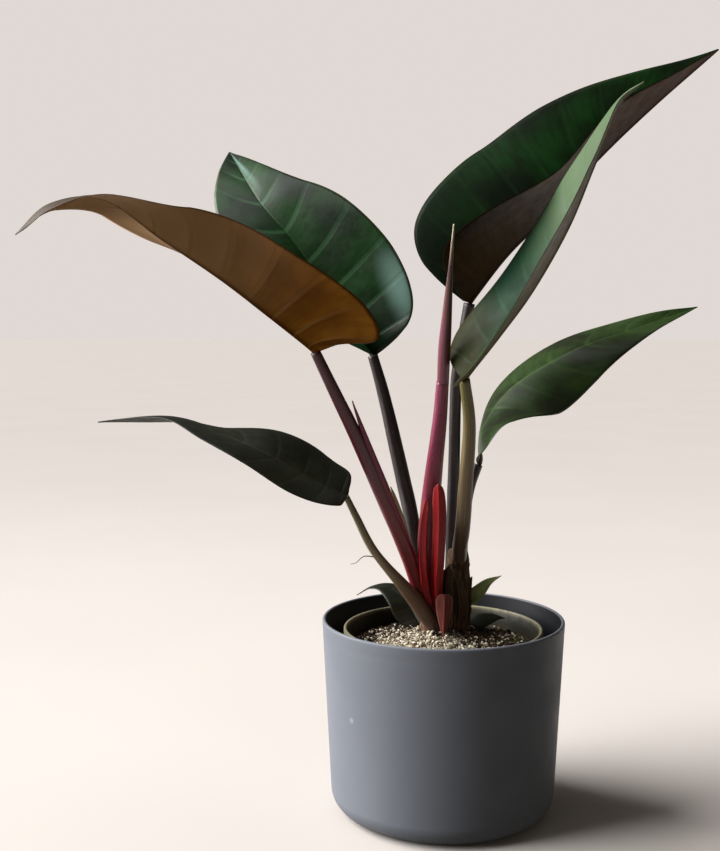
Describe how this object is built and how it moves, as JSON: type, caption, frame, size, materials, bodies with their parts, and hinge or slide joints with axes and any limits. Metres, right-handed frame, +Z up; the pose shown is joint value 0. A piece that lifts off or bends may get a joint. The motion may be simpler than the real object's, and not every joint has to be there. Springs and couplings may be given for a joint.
{
  "type": "potted philodendron plant",
  "caption": "Potted aroid house plant: large folded leaves on long stalks, a rolled new leaf and red bracts, in a plastic nursery pot inside a round tapered planter.",
  "frame": {"origin": "centre of the planter's flat underside, on the surface it stands on", "axes": "+Z up, -Y toward the viewer of the picture, +X to the viewer's right"},
  "size_m": [0.4766, 0.2741, 0.5377],
  "materials": {
    "planter_plastic": "matte, slightly chalky",
    "nursery_plastic": "satin",
    "potting_mix": "rough, gritty",
    "woody_stem": "rough, fibrous",
    "leaf_green": "glossy, waxy",
    "leaf_dark_green": "satin, waxy",
    "leaf_copper": "satin underside, glossy upper face",
    "stalk_burgundy": "smooth, waxy",
    "stalk_dark": "smooth, waxy",
    "stalk_olive": "smooth, waxy",
    "stalk_brown": "dry at the edges",
    "bract_red": "smooth, fleshy",
    "bract_dark_red": "smooth, fleshy",
    "new_leaf_cream": "smooth, translucent",
    "bract_pink_brown": "dry, papery",
    "leaf_olive": "satin"
  },
  "bodies": {
    "root": {"planter": "planter_plastic", "nursery_pot": "nursery_plastic", "potting_mix": "potting_mix", "stem": "woody_stem", "petiole_left_front": "stalk_burgundy", "petiole_left_back": "stalk_dark", "petiole_right_back": "stalk_dark", "petiole_right_front": "stalk_olive", "petiole_right_low": "stalk_dark", "petiole_left_low": "stalk_brown", "blade_left_front": "leaf_copper", "blade_left_back": "leaf_green", "blade_right_back": "leaf_green", "blade_right_front": "leaf_green", "blade_right_low": "leaf_green", "blade_left_low": "leaf_dark_green", "spear_stalk": "stalk_burgundy", "spear_blade": "new_leaf_cream", "bract_red": "bract_red", "bract_dark_red": "bract_dark_red", "bract_base": "bract_pink_brown", "bract_olive": "stalk_brown", "small_leaf_right": "leaf_olive", "leaf_over_rim": "leaf_dark_green", "leaf_on_mix": "leaf_dark_green", "dried_thread": "stalk_brown"}
  },
  "joints": []
}
